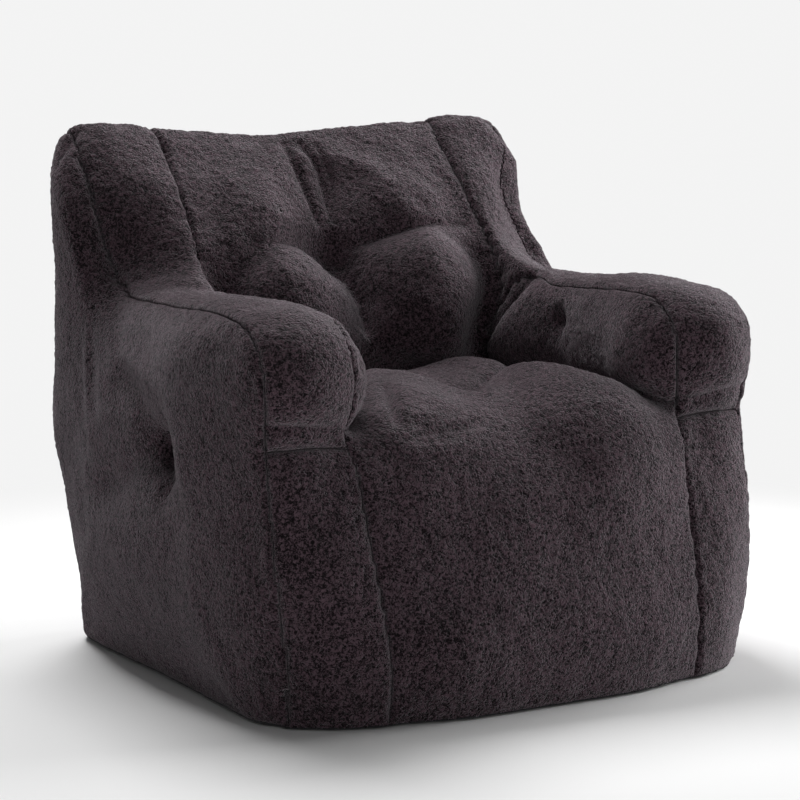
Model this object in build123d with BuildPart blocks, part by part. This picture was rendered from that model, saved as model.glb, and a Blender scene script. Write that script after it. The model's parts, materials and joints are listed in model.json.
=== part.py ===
"""Bean bag armchair: a fleece cover sewn from shaped panels over four stuffed chambers.

Millimetres. +Z is up, the chair faces -Y, and the origin is on the floor under the middle of its box.
Two side chambers, each an arm and a wing in one, stand either side of the seat and back chambers.
"""

import math
import os

from build123d import *

# Widths, from the middle plane outwards.
centre_half = 290.0
gusset_width = 160.0
gusset_crown = 9.0
side_crown = 36.0
arm_crown = 32.0

# Heights above the floor.
belly_height = 95.0
seat_height = 472.0
seat_edge_height = 425.0
arm_height = 606.0
arm_seam_height = 412.0
back_height = 871.0
rear_bend_height = 300.0
zip_bend_height = 190.0

# Depths, front negative.
arm_front = -333.0
pinch_tuck = 11.0
front_lean = 17.0
foot_tuck = 15.0
front_belly = 75.0
seat_belly = 105.6
elbow = 145.0
rear_wall = 440.0
rear_crown = 14.0
crest_draw = 10.0
rear_draw = 28.0
zip_draw = 14.0
crest_width = 48.0
crest_seam_setback = 41.0
zip_setback = 16.0
seat_back_plane = 160.0

# Swells of the seat and the back, over the straight lines between their seams.
seat_swell = 18.0
seat_rear_height = 405.0
crease_height = 422.0
crease_hem = 5.0
shoulder_swell = 4.0
puff_height = 548.0
chin_height = 480.0
chin_swell = 10.0
puff_edge = 22.0
puff_swell = -50.0
puff_middle = -10.0
waist_height = 140.0
waist_edge = 70.0
waist_swell = 66.0
waist_middle = 110.0
tuft_share = 0.6

# Rounding of the outlines.
foot_round = 90.0
pinch_round = 80.0
arm_round = 95.0
elbow_round = 140.0
crest_round = 0.62 * crest_width
rear_round = 120.0
seat_edge_round = 70.0
seat_round = 112.0
puff_round = 70.0
chin_round = 60.0
waist_round = 110.0

# Layers, from the pile inwards.
cover_thickness = 8.0
base_thickness = 8.0
divider_thickness = 1.5
layer_gap = 0.6
slack = 6.0

# Tufts, where ties draw the cover in.
tuft_floor_radius = 5.0
tuft_floor_depth = 2.0
tuft_reach = 35.0
tuft_margin = 4.0
seat_tuft_setback = 192.0
arm_tuft_setback = 299.0
arm_tuft_drop = 66.0
side_tuft_setback = 280.0
side_tuft_drop = 226.0
tie_diameter = 4.0
tie_clearance = 0.3

# Zip across the foot of the back.
zip_height = 110.0
zip_opening = 30.0
tape_thickness = 1.2
tooth_length = 2.7
tooth_width = 2.0
tooth_pitch = 4.0
tooth_thickness = 2.6
tooth_root = 0.8
row_gap = 1.6
stop_length = 4.0
stop_inset = 14.0
stop_thickness = 3.6
slider_length = 18.0
slider_width = 16.0
slider_plate = 1.6
slider_round = 3.0
slider_clearance = 0.5
slider_post = 1.0
slider_post_length = 8.0
slider_end_gap = 3.0
bail_bar_radius = 1.0
bail_height = 3.2
bail_leg = 1.6
bail_clearance = 0.4
pull_eye_radius = 2.6
pull_clearance = 0.09
pull_eye_width = 6.0
pull_width = 9.0
pull_length = 30.0
pull_thickness = 1.6
pull_hole_radius = 2.2

# Places that follow from the sizes above.
side_seam = centre_half + gusset_width
gusset_middle = centre_half + gusset_width / 2
quarter = centre_half / 2
shoulder = centre_half - arm_crown - shoulder_swell
under_floor = -60.0
side_foot = -20.0
arm_pinch = arm_front + pinch_tuck
front_wall = arm_front - front_lean
front_foot = front_wall + foot_tuck
seat_roll = arm_pinch - 20
behind_seat = seat_back_plane + 100
crest_front = rear_wall - crest_width
crest_seam = rear_wall - crest_seam_setback
zip_wall = rear_wall - zip_setback
zip_depth = zip_wall - cover_thickness / 2
fill_inset = cover_thickness + slack
side_gap = layer_gap
centre_gap = divider_thickness + layer_gap
base_top = base_thickness + layer_gap
side_middle = (elbow / 2, arm_height * 0.55)
inner_arm_middle = ((arm_front + elbow) / 2, (seat_edge_height + arm_height) / 2)

# A crowned cap closes in four steps: its share of the rise, and its share of the outline.
cap_steps = ((0.0, 1.0), (0.55, 0.92), (0.9, 0.7), (1.0, 0.35))

# The seat and back at their side seams, beside the arms, at their fullest and in the middle.
edge_foot = front_foot - 0.8 * front_belly
full_foot = front_foot - 0.8 * seat_belly
full_front = front_wall - seat_belly
shoulder_front = front_wall - (2 * front_belly + seat_belly) / 3
seat_edge = (front_wall - front_belly, edge_foot, seat_edge_height, seat_edge_round)
seat_shoulder = (shoulder_front, edge_foot, seat_edge_height + shoulder_swell, seat_edge_round)
seat_full = (full_front, full_foot, seat_height + seat_swell, seat_round)
seat_centre = (full_front, full_foot, seat_height, seat_round)
back_edge = (puff_edge, waist_edge, 0.0)
back_shoulder = (puff_edge - shoulder_swell, waist_edge, rear_crown * 0.25)
back_full = (puff_swell, waist_swell, rear_crown * 0.8)
back_centre = (puff_middle, waist_middle, rear_crown)


def across(edge, beside_arm, full, centre):
    """Stations across the chair for a chamber's sections, the same on both sides of the middle."""
    right = ((quarter, full), (shoulder, beside_arm), (centre_half, edge))
    left = tuple((-x, shape) for x, shape in reversed(right))
    return (*left, (0, centre), *right)


def side_corners(belly, draw, foot=under_floor):
    """Side view of an arm and wing as (depth, height, radius).

    The belly pushes the front forwards, and the draw, from 0 to 1, takes in the rear corner.
    """
    front = front_wall - belly
    slope = (foot_tuck + 0.2 * belly) / (belly_height - under_floor)
    return [
        (front + slope * (belly_height - foot), foot, 0),
        (front, belly_height, foot_round),
        (arm_pinch, arm_seam_height, pinch_round),
        (arm_front, arm_height, arm_round),
        (elbow, arm_height, elbow_round),
        (crest_front - crest_draw * draw, back_height, crest_round),
        (rear_wall - crest_draw * draw, back_height, crest_round),
        (rear_wall - rear_draw * draw, rear_bend_height, rear_round),
        (zip_wall - zip_draw * draw, zip_bend_height, foot_round),
        (zip_wall - zip_draw * draw, foot, 0),
    ]


def inner_arm_corners():
    """The part of an arm's inner side that stands free, above the seat and before the back."""
    return [
        (arm_pinch + 4, seat_edge_height + 7, 20),
        (arm_front + 8, arm_height - 8, arm_round - 7),
        (seat_back_plane - 10, arm_height - 8, 30),
        (seat_back_plane - 10, seat_edge_height + 7, 30),
    ]


def seat_corners(front, foot, height, roll):
    """Side view of the seat: front of its belly, foot, crest height and the radius of its front roll."""
    return [
        (foot, under_floor, 0),
        (front, belly_height, foot_round),
        (seat_roll, height, roll),
        (behind_seat, seat_rear_height, 0),
        (behind_seat, under_floor, 0),
    ]


def back_corners(puff, waist, crown, wall):
    """Side view of the back: its puff and waist behind the seat's end, its rear crown and front wall."""
    return [
        (wall, under_floor, 0),
        (wall, crease_height, 0),
        (seat_back_plane + 0.8 * puff - chin_swell, chin_height, chin_round),
        (seat_back_plane + puff, puff_height, puff_round),
        (seat_back_plane + waist, puff_height + waist_height, waist_round),
        (crest_front, back_height, crest_round),
        (rear_wall, back_height, crest_round),
        (rear_wall + crown, (rear_bend_height + puff_height) / 2, rear_round),
        (zip_wall, zip_bend_height, foot_round),
        (zip_wall, under_floor, 0),
    ]


def shrunk(corners, middle, share):
    """The same corners drawn towards a middle point."""
    return [
        (middle[0] + (y - middle[0]) * share, middle[1] + (z - middle[1]) * share, radius * share)
        for y, z, radius in corners
    ]


def grown(corners, amount):
    """The same outline moved out by an amount, its rounded corners kept concentric."""
    moved = []
    for before, here, after in zip(corners[-1:] + corners[:-1], corners, corners[1:] + corners[:1]):
        arriving = (Vector(*here[:2]) - Vector(*before[:2])).normalized()
        leaving = (Vector(*after[:2]) - Vector(*here[:2])).normalized()
        square_on = Vector(-arriving.Y - leaving.Y, arriving.X + leaving.X)
        shift = square_on * (amount / (1 + arriving.dot(leaving)))
        turn = arriving.X * leaving.Y - arriving.Y * leaving.X
        radius = here[2] and max(here[2] - math.copysign(1, turn) * amount, 2.0)
        moved.append((here[0] + shift.X, here[1] + shift.Y, radius))
    return moved


def section(x, corners, grow):
    """A filled outline across the chair at x, grown or, where negative, inset."""
    outline_corners = grown(corners, grow)
    with BuildSketch(Plane.YZ.offset(x)) as outline:
        with BuildLine():
            FilletPolyline(
                *[(y, z) for y, z, _ in outline_corners],
                radius=[radius for _, _, radius in outline_corners],
                close=True,
            )
        make_face()
    return outline.sketch


def cap_sections(corners, middle, start, rise, inset):
    """Sections of a crowned cap on the outline at x = start, rising along X by rise."""
    outline = grown(corners, -inset)
    return [
        section(start + rise * height_share, shrunk(outline, middle, outline_share), 0.0)
        for height_share, outline_share in cap_steps
    ]


def tuft_hollow(reach, inset):
    """A trumpet-shaped hollow down -Z from its mouth at the origin, wider and deeper by the inset."""
    flare = max(reach - inset, 1.0)
    throat = tuft_floor_radius + inset
    mouth = throat + flare
    neck = inset + flare
    floor = reach + tuft_floor_depth + inset
    rim = mouth + inset + 1
    with BuildPart() as hollow:
        with BuildSketch(Plane.XZ):
            with BuildLine():
                Polyline((throat, -neck), (throat, -floor), (0, -floor), (0, 2 * reach))
                Polyline((0, 2 * reach), (rim, 2 * reach), (rim, -inset), (mouth, -inset))
                RadiusArc((mouth, -inset), (throat, -neck), -flare)
            make_face()
        revolve(axis=Axis.Z)
    return hollow.part


def reach_within(rise):
    """How deep a tuft may reach so that its floor stays clear of the seam plane behind it."""
    return rise - tuft_floor_depth - cover_thickness - tuft_margin


# Each tuft as the plane of its mouth, facing out, and how far it reaches in.
arm_tuft = (
    Plane(
        origin=(centre_half - arm_crown, arm_front + arm_tuft_setback, arm_height - arm_tuft_drop),
        z_dir=(-1, 0, 0),
    ),
    reach_within(arm_crown),
)
side_tuft = (
    Plane(
        origin=(side_seam + side_crown, arm_front + side_tuft_setback, arm_height - side_tuft_drop),
        z_dir=(1, 0, 0),
    ),
    reach_within(side_crown),
)
seat_tuft = (
    Plane(origin=(0, arm_front + seat_tuft_setback, seat_height - 9), z_dir=(0, 0, 1)),
    tuft_reach,
)
waist_line = Vector(0, waist_middle - puff_middle, waist_height)
back_tuft_place = Vector(0, seat_back_plane + puff_middle, puff_height) + waist_line * tuft_share
back_tuft = (
    Plane(origin=back_tuft_place, z_dir=(0, -waist_line.Z, waist_line.Y)),
    tuft_reach,
)
back_tuft_floor = back_tuft_place - back_tuft[0].z_dir * (tuft_reach + tuft_floor_depth)
rear_tuft_rise = rear_crown * 0.5 + crest_seam_setback
rear_tuft = (
    Plane(origin=(0, crest_seam + rear_tuft_rise, back_tuft_floor.Z), z_dir=(0, 1, 0)),
    reach_within(rear_tuft_rise),
)


def tuft_seat(tuft, inset):
    """The plane of a tuft's floor at an inset."""
    mouth, reach = tuft
    return mouth.offset(-(reach + tuft_floor_depth + inset))


def tie_run(radius, ends):
    """A straight rod between two planes' origins, cut off at both planes."""
    first, last = ends
    line = last.origin - first.origin
    with BuildPart() as rod:
        with Locations(Plane(origin=(first.origin + last.origin) / 2, z_dir=line)):
            Cylinder(radius, line.length + 20 * radius)
        split(bisect_by=first, keep=Keep.BOTTOM)
        split(bisect_by=last, keep=Keep.BOTTOM)
    return rod.part


base_seat = Plane(origin=(0, arm_front + seat_tuft_setback, base_thickness), z_dir=(0, 0, -1))
back_tie_ends = (tuft_seat(back_tuft, cover_thickness), tuft_seat(rear_tuft, cover_thickness))
seat_tie_ends = (tuft_seat(seat_tuft, cover_thickness), base_seat)
arm_tie_ends = (tuft_seat(arm_tuft, cover_thickness), tuft_seat(side_tuft, cover_thickness))


def side_chamber(inset=0.0, gap=0.0, floor=0.0):
    """The right arm and wing: gusset band, crowned outer side and the padded inner side of the arm."""
    arm_rise = inset - arm_crown
    stations = (
        (centre_half, side_corners(front_belly, 0.0), 0.0),
        (gusset_middle, side_corners(front_belly * 0.6, 0.2), gusset_crown),
        (side_seam, side_corners(0.0, 1.0), 0.0),
    )
    outer_side = side_corners(0.0, 1.0, side_foot)
    with BuildPart() as chamber:
        loft([section(x, corners, crown - inset) for x, corners, crown in stations])
        split(bisect_by=Plane.YZ.offset(centre_half + gap), keep=Keep.TOP)
        loft(cap_sections(outer_side, side_middle, side_seam, side_crown - inset, inset))
        loft(cap_sections(inner_arm_corners(), inner_arm_middle, centre_half, arm_rise, inset))
        if gap:
            extrude(section(centre_half, inner_arm_corners(), -inset), amount=gap)
        for mouth, reach in (arm_tuft, side_tuft):
            with Locations(mouth):
                add(tuft_hollow(reach, inset), mode=Mode.SUBTRACT)
        split(bisect_by=Plane.XY.offset(floor), keep=Keep.TOP)
    return chamber.part


def seat_chamber(inset=0.0, gap=0.0, floor=0.0):
    """The seat, rolling over its front edge and down to the floor in one sweep."""
    stations = across(seat_edge, seat_shoulder, seat_full, seat_centre)
    with BuildPart() as chamber:
        loft([section(x, seat_corners(*shape), -inset) for x, shape in stations])
        with Locations(seat_tuft[0]):
            add(tuft_hollow(seat_tuft[1], inset), mode=Mode.SUBTRACT)
        split(bisect_by=Plane.XZ.offset(gap - seat_back_plane), keep=Keep.TOP)
        split(bisect_by=Plane.XY.offset(floor), keep=Keep.TOP)
        if gap:
            split(bisect_by=Plane.YZ.offset(centre_half - gap), keep=Keep.BOTTOM)
            split(bisect_by=Plane.YZ.offset(gap - centre_half), keep=Keep.TOP)
    return chamber.part


def back_chamber(inset=0.0, gap=0.0, floor=0.0):
    """The back: a wedge with two lower puffs, drawn in at a tuft between them."""
    wall = seat_back_plane + gap - inset
    stations = across(back_edge, back_shoulder, back_full, back_centre)
    with BuildPart() as chamber:
        loft([section(x, back_corners(*shape, wall), -inset) for x, shape in stations])
        for mouth, reach in (back_tuft, rear_tuft):
            with Locations(mouth):
                add(tuft_hollow(reach, inset), mode=Mode.SUBTRACT)
        split(bisect_by=Plane.XY.offset(floor), keep=Keep.TOP)
        if gap:
            split(bisect_by=Plane.YZ.offset(centre_half - gap), keep=Keep.BOTTOM)
            split(bisect_by=Plane.YZ.offset(gap - centre_half), keep=Keep.TOP)
    return chamber.part


def save(piece, name):
    """Labels a finished piece and writes it under its own name."""
    piece.part.label = name
    export_step(piece.part, f"parts/{name}.step")


os.makedirs("parts", exist_ok=True)
above_base = Plane.XY.offset(base_thickness)
at_arm_seam = Plane.XY.offset(arm_seam_height)
at_inner_seam = Plane.YZ.offset(centre_half)
at_side_seam = Plane.YZ.offset(side_seam)
at_crest_seam = Plane.XZ.offset(-crest_seam)

# Cover of the right side, cut at its seams; the left panels mirror it.
with BuildPart() as side_cover:
    add(side_chamber())
    add(side_chamber(cover_thickness), mode=Mode.SUBTRACT)

with BuildPart() as right_side_panel:
    add(side_cover.part)
    split(bisect_by=at_side_seam, keep=Keep.TOP)
    split(bisect_by=above_base, keep=Keep.TOP)
save(right_side_panel, "right_side_panel")

with BuildPart() as left_side_panel:
    mirror(right_side_panel.part, about=Plane.YZ)
save(left_side_panel, "left_side_panel")

with BuildPart() as right_inner_arm_panel:
    add(side_cover.part)
    split(bisect_by=at_inner_seam, keep=Keep.BOTTOM)
save(right_inner_arm_panel, "right_inner_arm_panel")

with BuildPart() as left_inner_arm_panel:
    mirror(right_inner_arm_panel.part, about=Plane.YZ)
save(left_inner_arm_panel, "left_inner_arm_panel")

with BuildPart() as gusset_band:
    add(side_cover.part)
    split(bisect_by=at_side_seam, keep=Keep.BOTTOM)
    split(bisect_by=at_inner_seam, keep=Keep.TOP)
    split(bisect_by=above_base, keep=Keep.TOP)

with BuildPart() as right_rear_gusset:
    add(gusset_band.part)
    split(bisect_by=at_crest_seam, keep=Keep.BOTTOM)
save(right_rear_gusset, "right_rear_gusset")

with BuildPart() as left_rear_gusset:
    mirror(right_rear_gusset.part, about=Plane.YZ)
save(left_rear_gusset, "left_rear_gusset")

with BuildPart() as right_arm_gusset:
    add(gusset_band.part)
    split(bisect_by=at_crest_seam, keep=Keep.TOP)
    split(bisect_by=at_arm_seam, keep=Keep.TOP)
save(right_arm_gusset, "right_arm_gusset")

with BuildPart() as left_arm_gusset:
    mirror(right_arm_gusset.part, about=Plane.YZ)
save(left_arm_gusset, "left_arm_gusset")

with BuildPart() as right_front_gusset:
    add(gusset_band.part)
    split(bisect_by=at_crest_seam, keep=Keep.TOP)
    split(bisect_by=at_arm_seam, keep=Keep.BOTTOM)
save(right_front_gusset, "right_front_gusset")

with BuildPart() as left_front_gusset:
    mirror(right_front_gusset.part, about=Plane.YZ)
save(left_front_gusset, "left_front_gusset")

# Cover of the seat and the back.
with BuildPart() as seat_panel:
    add(seat_chamber())
    add(seat_chamber(cover_thickness), mode=Mode.SUBTRACT)
    split(bisect_by=above_base, keep=Keep.TOP)
save(seat_panel, "seat_panel")

with BuildPart() as back_cover:
    add(back_chamber())
    add(back_chamber(cover_thickness), mode=Mode.SUBTRACT)

with BuildPart() as back_front_panel:
    add(back_cover.part)
    split(bisect_by=at_crest_seam, keep=Keep.TOP)
    split(bisect_by=Plane.XY.offset(crease_height + crease_hem), keep=Keep.TOP)
save(back_front_panel, "back_front_panel")

with BuildPart() as back_rear_panel:
    add(back_cover.part)
    split(bisect_by=at_crest_seam, keep=Keep.BOTTOM)
    split(bisect_by=Plane.XY.offset(zip_height + zip_opening / 2), keep=Keep.TOP)
save(back_rear_panel, "back_rear_panel")

with BuildPart() as back_lower_panel:
    add(back_cover.part)
    split(bisect_by=at_crest_seam, keep=Keep.BOTTOM)
    split(bisect_by=Plane.XY.offset(zip_height - zip_opening / 2), keep=Keep.BOTTOM)
    split(bisect_by=above_base, keep=Keep.TOP)
save(back_lower_panel, "back_lower_panel")

# The base closes the underside of all four chambers.
with BuildPart() as base_panel:
    add(side_chamber())
    mirror(about=Plane.YZ)
    add(seat_chamber())
    add(back_chamber())
    split(bisect_by=above_base, keep=Keep.BOTTOM)
save(base_panel, "base_panel")

# Cloth walls inside the cover that keep the four fillings apart.
with BuildPart() as right_divider:
    divider_face = centre_half - divider_thickness
    divider_inset = cover_thickness + 3 * layer_gap
    extrude(
        section(divider_face, seat_corners(*seat_edge), -divider_inset),
        amount=divider_thickness,
    )
    extrude(
        section(divider_face, back_corners(*back_edge, seat_back_plane), -divider_inset),
        amount=divider_thickness,
    )
    split(bisect_by=Plane.XY.offset(base_top), keep=Keep.TOP)
save(right_divider, "right_divider")

with BuildPart() as left_divider:
    mirror(right_divider.part, about=Plane.YZ)
save(left_divider, "left_divider")

with BuildPart() as seat_back_divider:
    wall_height = seat_rear_height - 1.5 * cover_thickness - base_top
    with Locations((0, seat_back_plane, base_top + wall_height / 2)):
        Box(2 * (centre_half - centre_gap), divider_thickness, wall_height)
save(seat_back_divider, "seat_back_divider")

# Ties that hold the tufts down, and the wider channels that they run in.
channel_radius = tie_diameter / 2 + tie_clearance

with BuildPart() as seat_tuft_tie:
    add(tie_run(tie_diameter / 2, seat_tie_ends))
save(seat_tuft_tie, "seat_tuft_tie")

with BuildPart() as back_tuft_tie:
    add(tie_run(tie_diameter / 2, back_tie_ends))
save(back_tuft_tie, "back_tuft_tie")

with BuildPart() as right_arm_tuft_tie:
    add(tie_run(tie_diameter / 2, arm_tie_ends))
save(right_arm_tuft_tie, "right_arm_tuft_tie")

with BuildPart() as left_arm_tuft_tie:
    mirror(right_arm_tuft_tie.part, about=Plane.YZ)
save(left_arm_tuft_tie, "left_arm_tuft_tie")

# The filling of each chamber, shaped by the cover with a little slack.
with BuildPart() as seat_fill:
    add(seat_chamber(fill_inset, centre_gap, base_top))
    add(tie_run(channel_radius, seat_tie_ends), mode=Mode.SUBTRACT)
save(seat_fill, "seat_fill")

with BuildPart() as back_fill:
    add(back_chamber(fill_inset, centre_gap, base_top))
    add(tie_run(channel_radius, back_tie_ends), mode=Mode.SUBTRACT)
save(back_fill, "back_fill")

with BuildPart() as right_arm_fill:
    add(side_chamber(fill_inset, side_gap, base_top))
    add(tie_run(channel_radius, arm_tie_ends), mode=Mode.SUBTRACT)
save(right_arm_fill, "right_arm_fill")

with BuildPart() as left_arm_fill:
    mirror(right_arm_fill.part, about=Plane.YZ)
save(left_arm_fill, "left_arm_fill")

# The zip lies in the middle of the cover's thickness, closed, with its slider at the left end.
tape_width = (zip_opening - row_gap) / 2 - tooth_length
tape_middle = zip_height + (zip_opening - tape_width) / 2
row_half = centre_half - stop_inset - stop_length
row_edge = row_gap / 2 + tooth_length
tooth_count = int(2 * row_half / tooth_pitch)
slider_rest = slider_end_gap + slider_length / 2 - row_half
plate_inside = tooth_thickness / 2 + slider_clearance
plate_outside = plate_inside + slider_plate
bar_depth = zip_depth + plate_outside + bail_height
leg_middle = pull_eye_width / 2 + bail_clearance + bail_leg / 2
zip_line = Plane.XY.offset(zip_height)

with BuildPart() as zip_tape_upper:
    with Locations((0, zip_depth, tape_middle)):
        Box(2 * centre_half, tape_thickness, tape_width)
save(zip_tape_upper, "zip_tape_upper")

with BuildPart() as zip_tape_lower:
    mirror(zip_tape_upper.part, about=zip_line)
save(zip_tape_lower, "zip_tape_lower")

with BuildPart() as zip_teeth_upper:
    with Locations((0, zip_depth, zip_height + row_edge - tooth_root / 2)):
        Box(2 * row_half, tape_thickness, tooth_root)
    with Locations((0, zip_depth, zip_height + row_edge - tooth_length / 2)):
        with GridLocations(tooth_pitch, 0, tooth_count, 1):
            Box(tooth_width, tooth_thickness, tooth_length)
save(zip_teeth_upper, "zip_teeth_upper")

with BuildPart() as zip_teeth_lower:
    mirror(zip_teeth_upper.part, about=zip_line)
save(zip_teeth_lower, "zip_teeth_lower")

with BuildPart() as zip_end_stop:
    with Locations((row_half + stop_length / 2, zip_depth, zip_height)):
        Box(stop_length, stop_thickness, 2 * row_edge)
    fillet(zip_end_stop.edges().filter_by(Axis.Y), stop_length / 4)
save(zip_end_stop, "zip_end_stop")

with BuildPart() as zip_start_stop:
    mirror(zip_end_stop.part, about=Plane.YZ)
save(zip_start_stop, "zip_start_stop")

with BuildPart() as zip_slider:
    with Locations((slider_rest, zip_depth, zip_height)):
        with Locations((0, plate_inside + slider_plate / 2, 0), (0, -plate_inside - slider_plate / 2, 0)):
            Box(slider_length, slider_plate, slider_width)
    fillet(zip_slider.edges().filter_by(Axis.Y), slider_round)
    with Locations((slider_rest, zip_depth, zip_height)):
        Box(slider_post_length, 2 * plate_inside, slider_post)
    with Locations((slider_rest, (zip_depth + plate_outside + bar_depth) / 2, zip_height)):
        with Locations((0, 0, leg_middle), (0, 0, -leg_middle)):
            Box(2.4 * bail_bar_radius, bail_height, bail_leg)
    with Locations((slider_rest, bar_depth, zip_height)):
        Cylinder(bail_bar_radius, 2 * leg_middle + bail_leg)
        with Locations((0, 0, leg_middle), (0, 0, -leg_middle)):
            Cylinder(1.2 * bail_bar_radius, bail_leg)
save(zip_slider, "zip_slider")

with BuildPart() as zip_pull:
    with BuildSketch(Plane.XZ.offset(-bar_depth)):
        with Locations((slider_rest + pull_length / 2, zip_height)):
            Rectangle(pull_length, pull_eye_width)
        with Locations((slider_rest + 0.65 * pull_length, zip_height)):
            RectangleRounded(0.7 * pull_length, pull_width, pull_width * 0.45)
        with Locations((slider_rest + pull_length - pull_width / 2, zip_height)):
            Circle(pull_hole_radius, mode=Mode.SUBTRACT)
    extrude(amount=pull_thickness / 2, both=True)
    with Locations((slider_rest, bar_depth, zip_height)):
        Cylinder(pull_eye_radius, pull_eye_width)
        Cylinder(bail_bar_radius + pull_clearance, pull_width, mode=Mode.SUBTRACT)
save(zip_pull, "zip_pull")
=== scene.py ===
"""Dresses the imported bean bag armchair: a sewn fleece cover, its fillings, inner cloths and zip."""

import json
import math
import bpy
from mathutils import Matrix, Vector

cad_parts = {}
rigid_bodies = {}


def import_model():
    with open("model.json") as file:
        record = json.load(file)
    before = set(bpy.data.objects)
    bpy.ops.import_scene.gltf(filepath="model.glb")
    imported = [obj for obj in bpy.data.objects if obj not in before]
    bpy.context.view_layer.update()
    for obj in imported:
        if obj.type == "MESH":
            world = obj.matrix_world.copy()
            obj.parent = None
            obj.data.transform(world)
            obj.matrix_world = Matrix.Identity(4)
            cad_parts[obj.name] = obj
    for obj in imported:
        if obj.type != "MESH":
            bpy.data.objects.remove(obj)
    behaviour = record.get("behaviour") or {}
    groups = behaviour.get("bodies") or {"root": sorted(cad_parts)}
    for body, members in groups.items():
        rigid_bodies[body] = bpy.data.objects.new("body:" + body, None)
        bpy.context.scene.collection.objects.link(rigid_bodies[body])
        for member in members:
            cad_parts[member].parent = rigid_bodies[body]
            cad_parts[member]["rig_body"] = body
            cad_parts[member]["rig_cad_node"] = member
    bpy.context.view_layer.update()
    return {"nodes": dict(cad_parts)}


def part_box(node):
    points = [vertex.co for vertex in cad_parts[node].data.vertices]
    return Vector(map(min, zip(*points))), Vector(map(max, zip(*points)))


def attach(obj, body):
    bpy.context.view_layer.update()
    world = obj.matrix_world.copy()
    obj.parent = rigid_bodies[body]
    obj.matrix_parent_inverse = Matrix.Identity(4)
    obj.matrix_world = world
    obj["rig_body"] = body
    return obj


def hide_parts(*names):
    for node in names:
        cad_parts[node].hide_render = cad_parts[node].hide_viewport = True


bl_info = {
    "name": "Bean bag armchair",
    "version": (1, 0, 0),
    "blender": (4, 2, 0),
    "location": "3D View > Sidebar > Bean bag",
    "description": "Sews a fleece cover over the packed chair and lights it",
    "category": "Object",
}

import bmesh
import bpy
import numpy as np
from mathutils import Vector, kdtree, noise
from mathutils.bvhtree import BVHTree

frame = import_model()

SIDES = (("left", -1), ("right", 1))
SIDE_PANELS = ("side_panel", "arm_gusset", "front_gusset", "rear_gusset", "inner_arm_panel")
CENTRE_PANELS = ("seat_panel", "back_front_panel", "back_rear_panel", "back_lower_panel")
PANELS = (
    *CENTRE_PANELS,
    *(f"{side}_{panel}" for side, _ in SIDES for panel in SIDE_PANELS),
    "base_panel",
)
PANEL_NUMBER = {name: number for number, name in enumerate(PANELS)}
FILLINGS = ("seat_fill", "back_fill", "left_arm_fill", "right_arm_fill")

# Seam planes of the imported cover, read from its panels' boxes.
INNER_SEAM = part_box("right_arm_gusset")[0][0]
OUTER_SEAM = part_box("right_arm_gusset")[1][0]
CREST_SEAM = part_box("back_front_panel")[1][1]
ARM_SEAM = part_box("right_arm_gusset")[0][2]
ZIP_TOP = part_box("back_rear_panel")[0][2]
ZIP_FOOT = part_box("back_lower_panel")[1][2]
ZIP_MIDDLE = (ZIP_TOP + ZIP_FOOT) / 2


class CoverSizes(bpy.types.PropertyGroup):
    """Sizes of the sewn cover."""

    cell: bpy.props.FloatProperty(
        name="Cell", description="Size of the cloth's cells", default=0.009, subtype="DISTANCE"
    )
    seam_depth: bpy.props.FloatProperty(
        name="Seam depth", description="How deep a seam sits in the pile", default=0.006,
        subtype="DISTANCE",
    )
    hem: bpy.props.FloatProperty(
        name="Hem", description="Turned-in edge of each panel", default=0.012, subtype="DISTANCE"
    )
    pile: bpy.props.FloatProperty(
        name="Pile", description="Height of the curly pile's lumps", default=0.0013, subtype="DISTANCE"
    )
    pressure: bpy.props.FloatProperty(
        name="Pressure", description="Push of the filling on the cloth", default=2.5
    )
    swell_limit: bpy.props.FloatProperty(
        name="Swell limit", description="Furthest that the filling moves the cloth", default=0.02,
        subtype="DISTANCE",
    )


class ChairColours(bpy.types.PropertyGroup):
    """Colours of the chair's materials."""

    # The pile's colours: near-black painted shade in the gaps between the curls, and the fleece's own
    # colour lifted with painted highlight on the curls' tips.
    pile_gap_painted_shade: bpy.props.FloatVectorProperty(
        name="Pile shade", description="Colour between the curls", size=3, subtype="COLOR",
        default=(0.006, 0.004, 0.005),
    )
    pile_tip_colour_and_painted_highlight: bpy.props.FloatVectorProperty(
        name="Pile tips", description="Colour of the curls' tips", size=3, subtype="COLOR",
        default=(0.137, 0.089, 0.109),
    )
    base_cloth: bpy.props.FloatVectorProperty(
        name="Base cloth", description="Underside cloth", size=3, subtype="COLOR",
        default=(0.02, 0.02, 0.022),
    )
    foam: bpy.props.FloatVectorProperty(
        name="Foam", description="Shredded foam filling", size=3, subtype="COLOR",
        default=(0.72, 0.66, 0.47),
    )
    lining: bpy.props.FloatVectorProperty(
        name="Lining", description="Inner dividing cloths", size=3, subtype="COLOR",
        default=(0.5, 0.49, 0.47),
    )
    zip_black: bpy.props.FloatVectorProperty(
        name="Zip", description="Tape and teeth", size=3, subtype="COLOR",
        default=(0.022, 0.022, 0.024),
    )
    floor: bpy.props.FloatVectorProperty(
        name="Floor", description="Studio floor", size=3, subtype="COLOR",
        default=(0.87, 0.87, 0.87),
    )


class Wire:
    """A shader value that takes part in Python sums."""

    def __init__(self, tree, socket):
        self.tree = tree
        self.socket = socket

    def combine(self, operation, first, second):
        return add_node(self.tree, "Math", {"operation": operation}, {0: first, 1: second})

    def __add__(self, other):
        return self.combine("ADD", self, other)

    def __radd__(self, other):
        return self.combine("ADD", other, self)

    def __sub__(self, other):
        return self.combine("SUBTRACT", self, other)

    def __rsub__(self, other):
        return self.combine("SUBTRACT", other, self)

    def __mul__(self, other):
        return self.combine("MULTIPLY", self, other)

    def __rmul__(self, other):
        return self.combine("MULTIPLY", other, self)

    def __pow__(self, other):
        return self.combine("POWER", self, other)


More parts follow.
